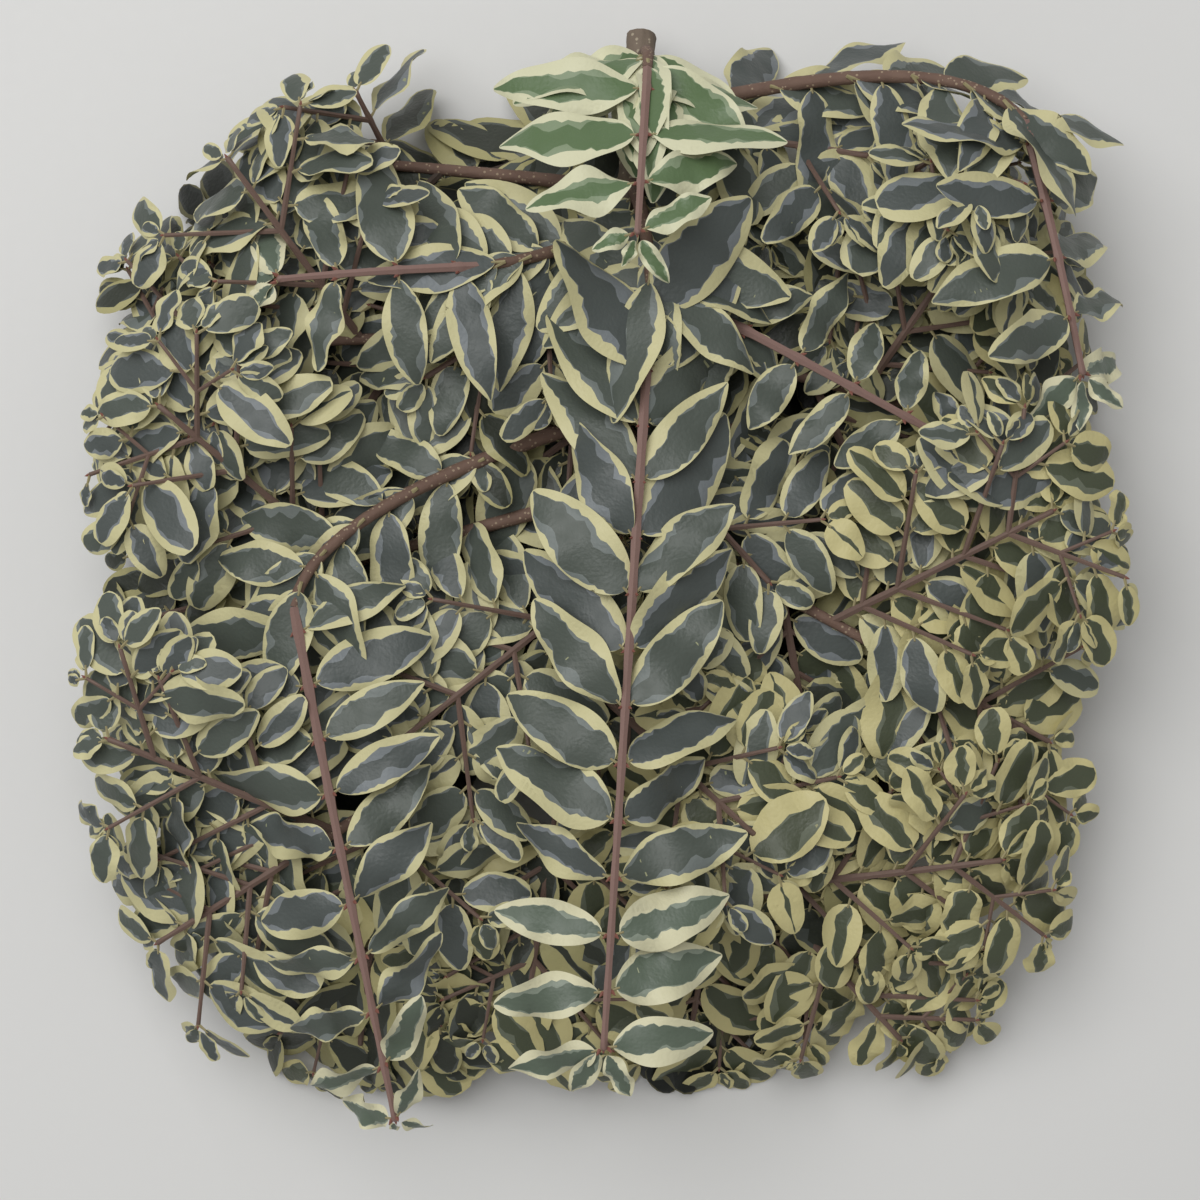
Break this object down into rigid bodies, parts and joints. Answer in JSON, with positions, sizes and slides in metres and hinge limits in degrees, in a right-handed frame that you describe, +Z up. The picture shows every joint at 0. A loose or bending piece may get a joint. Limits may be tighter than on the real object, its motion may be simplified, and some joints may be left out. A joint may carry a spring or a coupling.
{
  "type": "leafy bough of variegated privet",
  "caption": "Cut leafy bough of a small-leaved evergreen privet, lying flat: woody stem, opposite side boughs and shoots, grey-green leaves with cream margins.",
  "frame": {"origin": "middle of the bottom of the overall box, at the height of the level ground that the bough lies on", "axes": "+Y along the main stem towards its cut end, which is up in the picture; +X to the picture's right; +Z up from the ground, towards the picture's viewer"},
  "size_m": [0.2922, 0.3116, 0.0864],
  "materials": {
    "old_bark": "matt grey-brown bark with small pale pores",
    "young_bark": "matt red-brown young bark",
    "leafage": "soft sheen, grey-green leaves with cream margins",
    "fresh_leafage": "soft sheen, fresher green leaves with cream margins"
  },
  "bodies": {
    "root": {"bough_front_left": "young_bark", "bough_front_long": "young_bark", "bough_front_right": "young_bark", "bough_front_slanting": "young_bark", "bough_front_top": "young_bark", "bough_front_upright": "young_bark", "bough_left_1": "young_bark", "bough_left_2": "young_bark", "bough_left_3": "young_bark", "bough_left_4": "young_bark", "bough_right_1": "young_bark", "bough_right_2": "young_bark", "bough_right_3": "young_bark", "bough_right_4": "young_bark", "main_stem": "old_bark", "mass_end_lower": "leafage", "mass_end_tip": "leafage", "mass_end_upper": "leafage", "mass_inner_left_1": "leafage", "mass_inner_left_2": "leafage", "mass_inner_left_3": "leafage", "mass_inner_left_4": "leafage", "mass_inner_right_1": "leafage", "mass_inner_right_2": "leafage", "mass_inner_right_3": "leafage", "mass_inner_right_4": "leafage", "mass_left_1_lower": "leafage", "mass_left_1_tip": "leafage", "mass_left_2_lower": "leafage", "mass_left_2_tip": "leafage", "mass_left_2_upper": "leafage", "mass_left_3_lower": "leafage", "mass_left_3_tip": "leafage", "mass_left_3_upper": "leafage", "mass_left_4_lower": "leafage", "mass_left_4_tip": "leafage", "mass_right_1_lower": "leafage", "mass_right_1_tip": "leafage", "mass_right_1_upper": "leafage", "mass_right_2_lower": "leafage", "mass_right_2_tip": "leafage", "mass_right_2_upper": "leafage", "mass_right_3_lower": "leafage", "mass_right_3_tip": "leafage", "mass_right_3_upper": "leafage", "mass_right_4_lower": "leafage", "mass_right_4_tip": "leafage", "mass_right_4_upper": "leafage", "shoot_left": "fresh_leafage", "shoot_long": "fresh_leafage", "shoot_right": "fresh_leafage", "shoot_slanting": "fresh_leafage", "shoot_top": "fresh_leafage", "shoot_upright": "fresh_leafage"}
  },
  "joints": []
}
